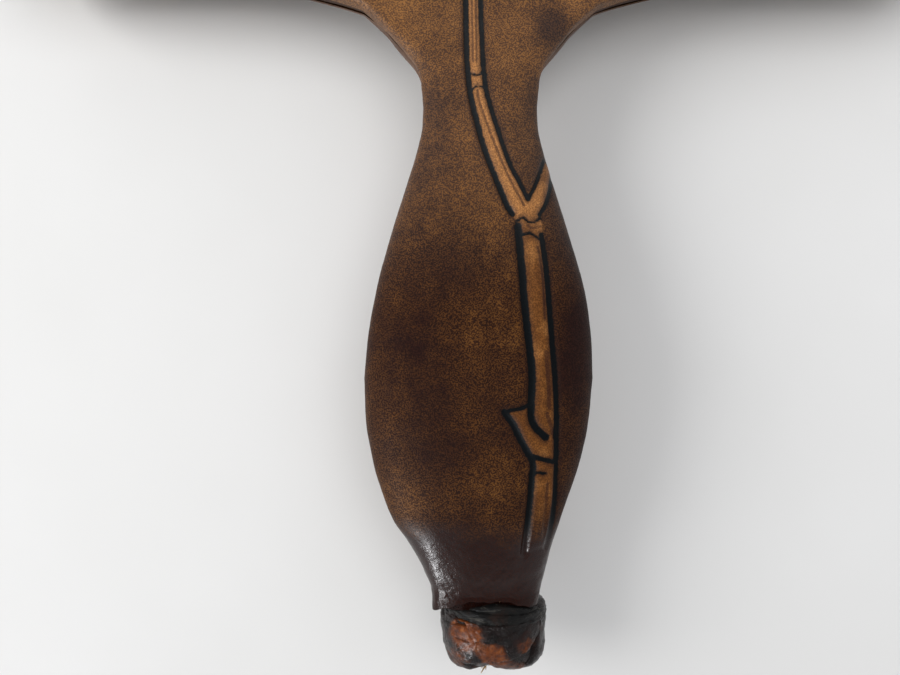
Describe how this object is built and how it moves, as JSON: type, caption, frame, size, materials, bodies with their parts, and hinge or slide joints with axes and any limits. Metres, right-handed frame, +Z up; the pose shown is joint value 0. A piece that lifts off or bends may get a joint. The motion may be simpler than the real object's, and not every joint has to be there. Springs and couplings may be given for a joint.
{
  "type": "hand carder",
  "caption": "Hand carder for brushing wool: rectangular board with bent wire teeth on one face, leather on its back, and a swelling leather-covered handle with a braided knob.",
  "frame": {"origin": "Under the middle of the whole carder's box, on the surface that the tips of its teeth rest on.", "axes": "+Z up, out of the leather back; +Y along the handle towards the board; +X across the board, to the right seen from above with the knob nearest."},
  "size_m": [0.2108, 0.26, 0.0329],
  "materials": {
    "board_wood": "oiled",
    "cheek_wood": "bare",
    "dowel_wood": "bare",
    "tooled_leather": "antiqued, waxed",
    "plain_leather": "waxed",
    "edge_leather": "dull",
    "thread": "waxed",
    "knob_wood": "stained",
    "black_leather": "burnished",
    "strap_leather": "worn, waxed",
    "foundation_leather": "matt",
    "card_wire": "satin",
    "strip_leather": "satin",
    "tack_brass": "tarnished"
  },
  "bodies": {
    "root": {"carding_board": "board_wood", "upper_cheek": "cheek_wood", "lower_cheek": "cheek_wood", "cheek_dowels": "dowel_wood", "back_leather": "tooled_leather", "under_leather": "plain_leather", "edge_band": "edge_leather", "seam_stitches": "thread", "knob_core": "knob_wood", "knob_collar": "black_leather", "knob_straps": "strap_leather", "knob_girdle": "strap_leather", "card_foundation": "foundation_leather", "outer_staples": "card_wire", "inner_staples": "card_wire", "border_strips": "strip_leather", "border_tacks": "tack_brass"}
  },
  "joints": []
}
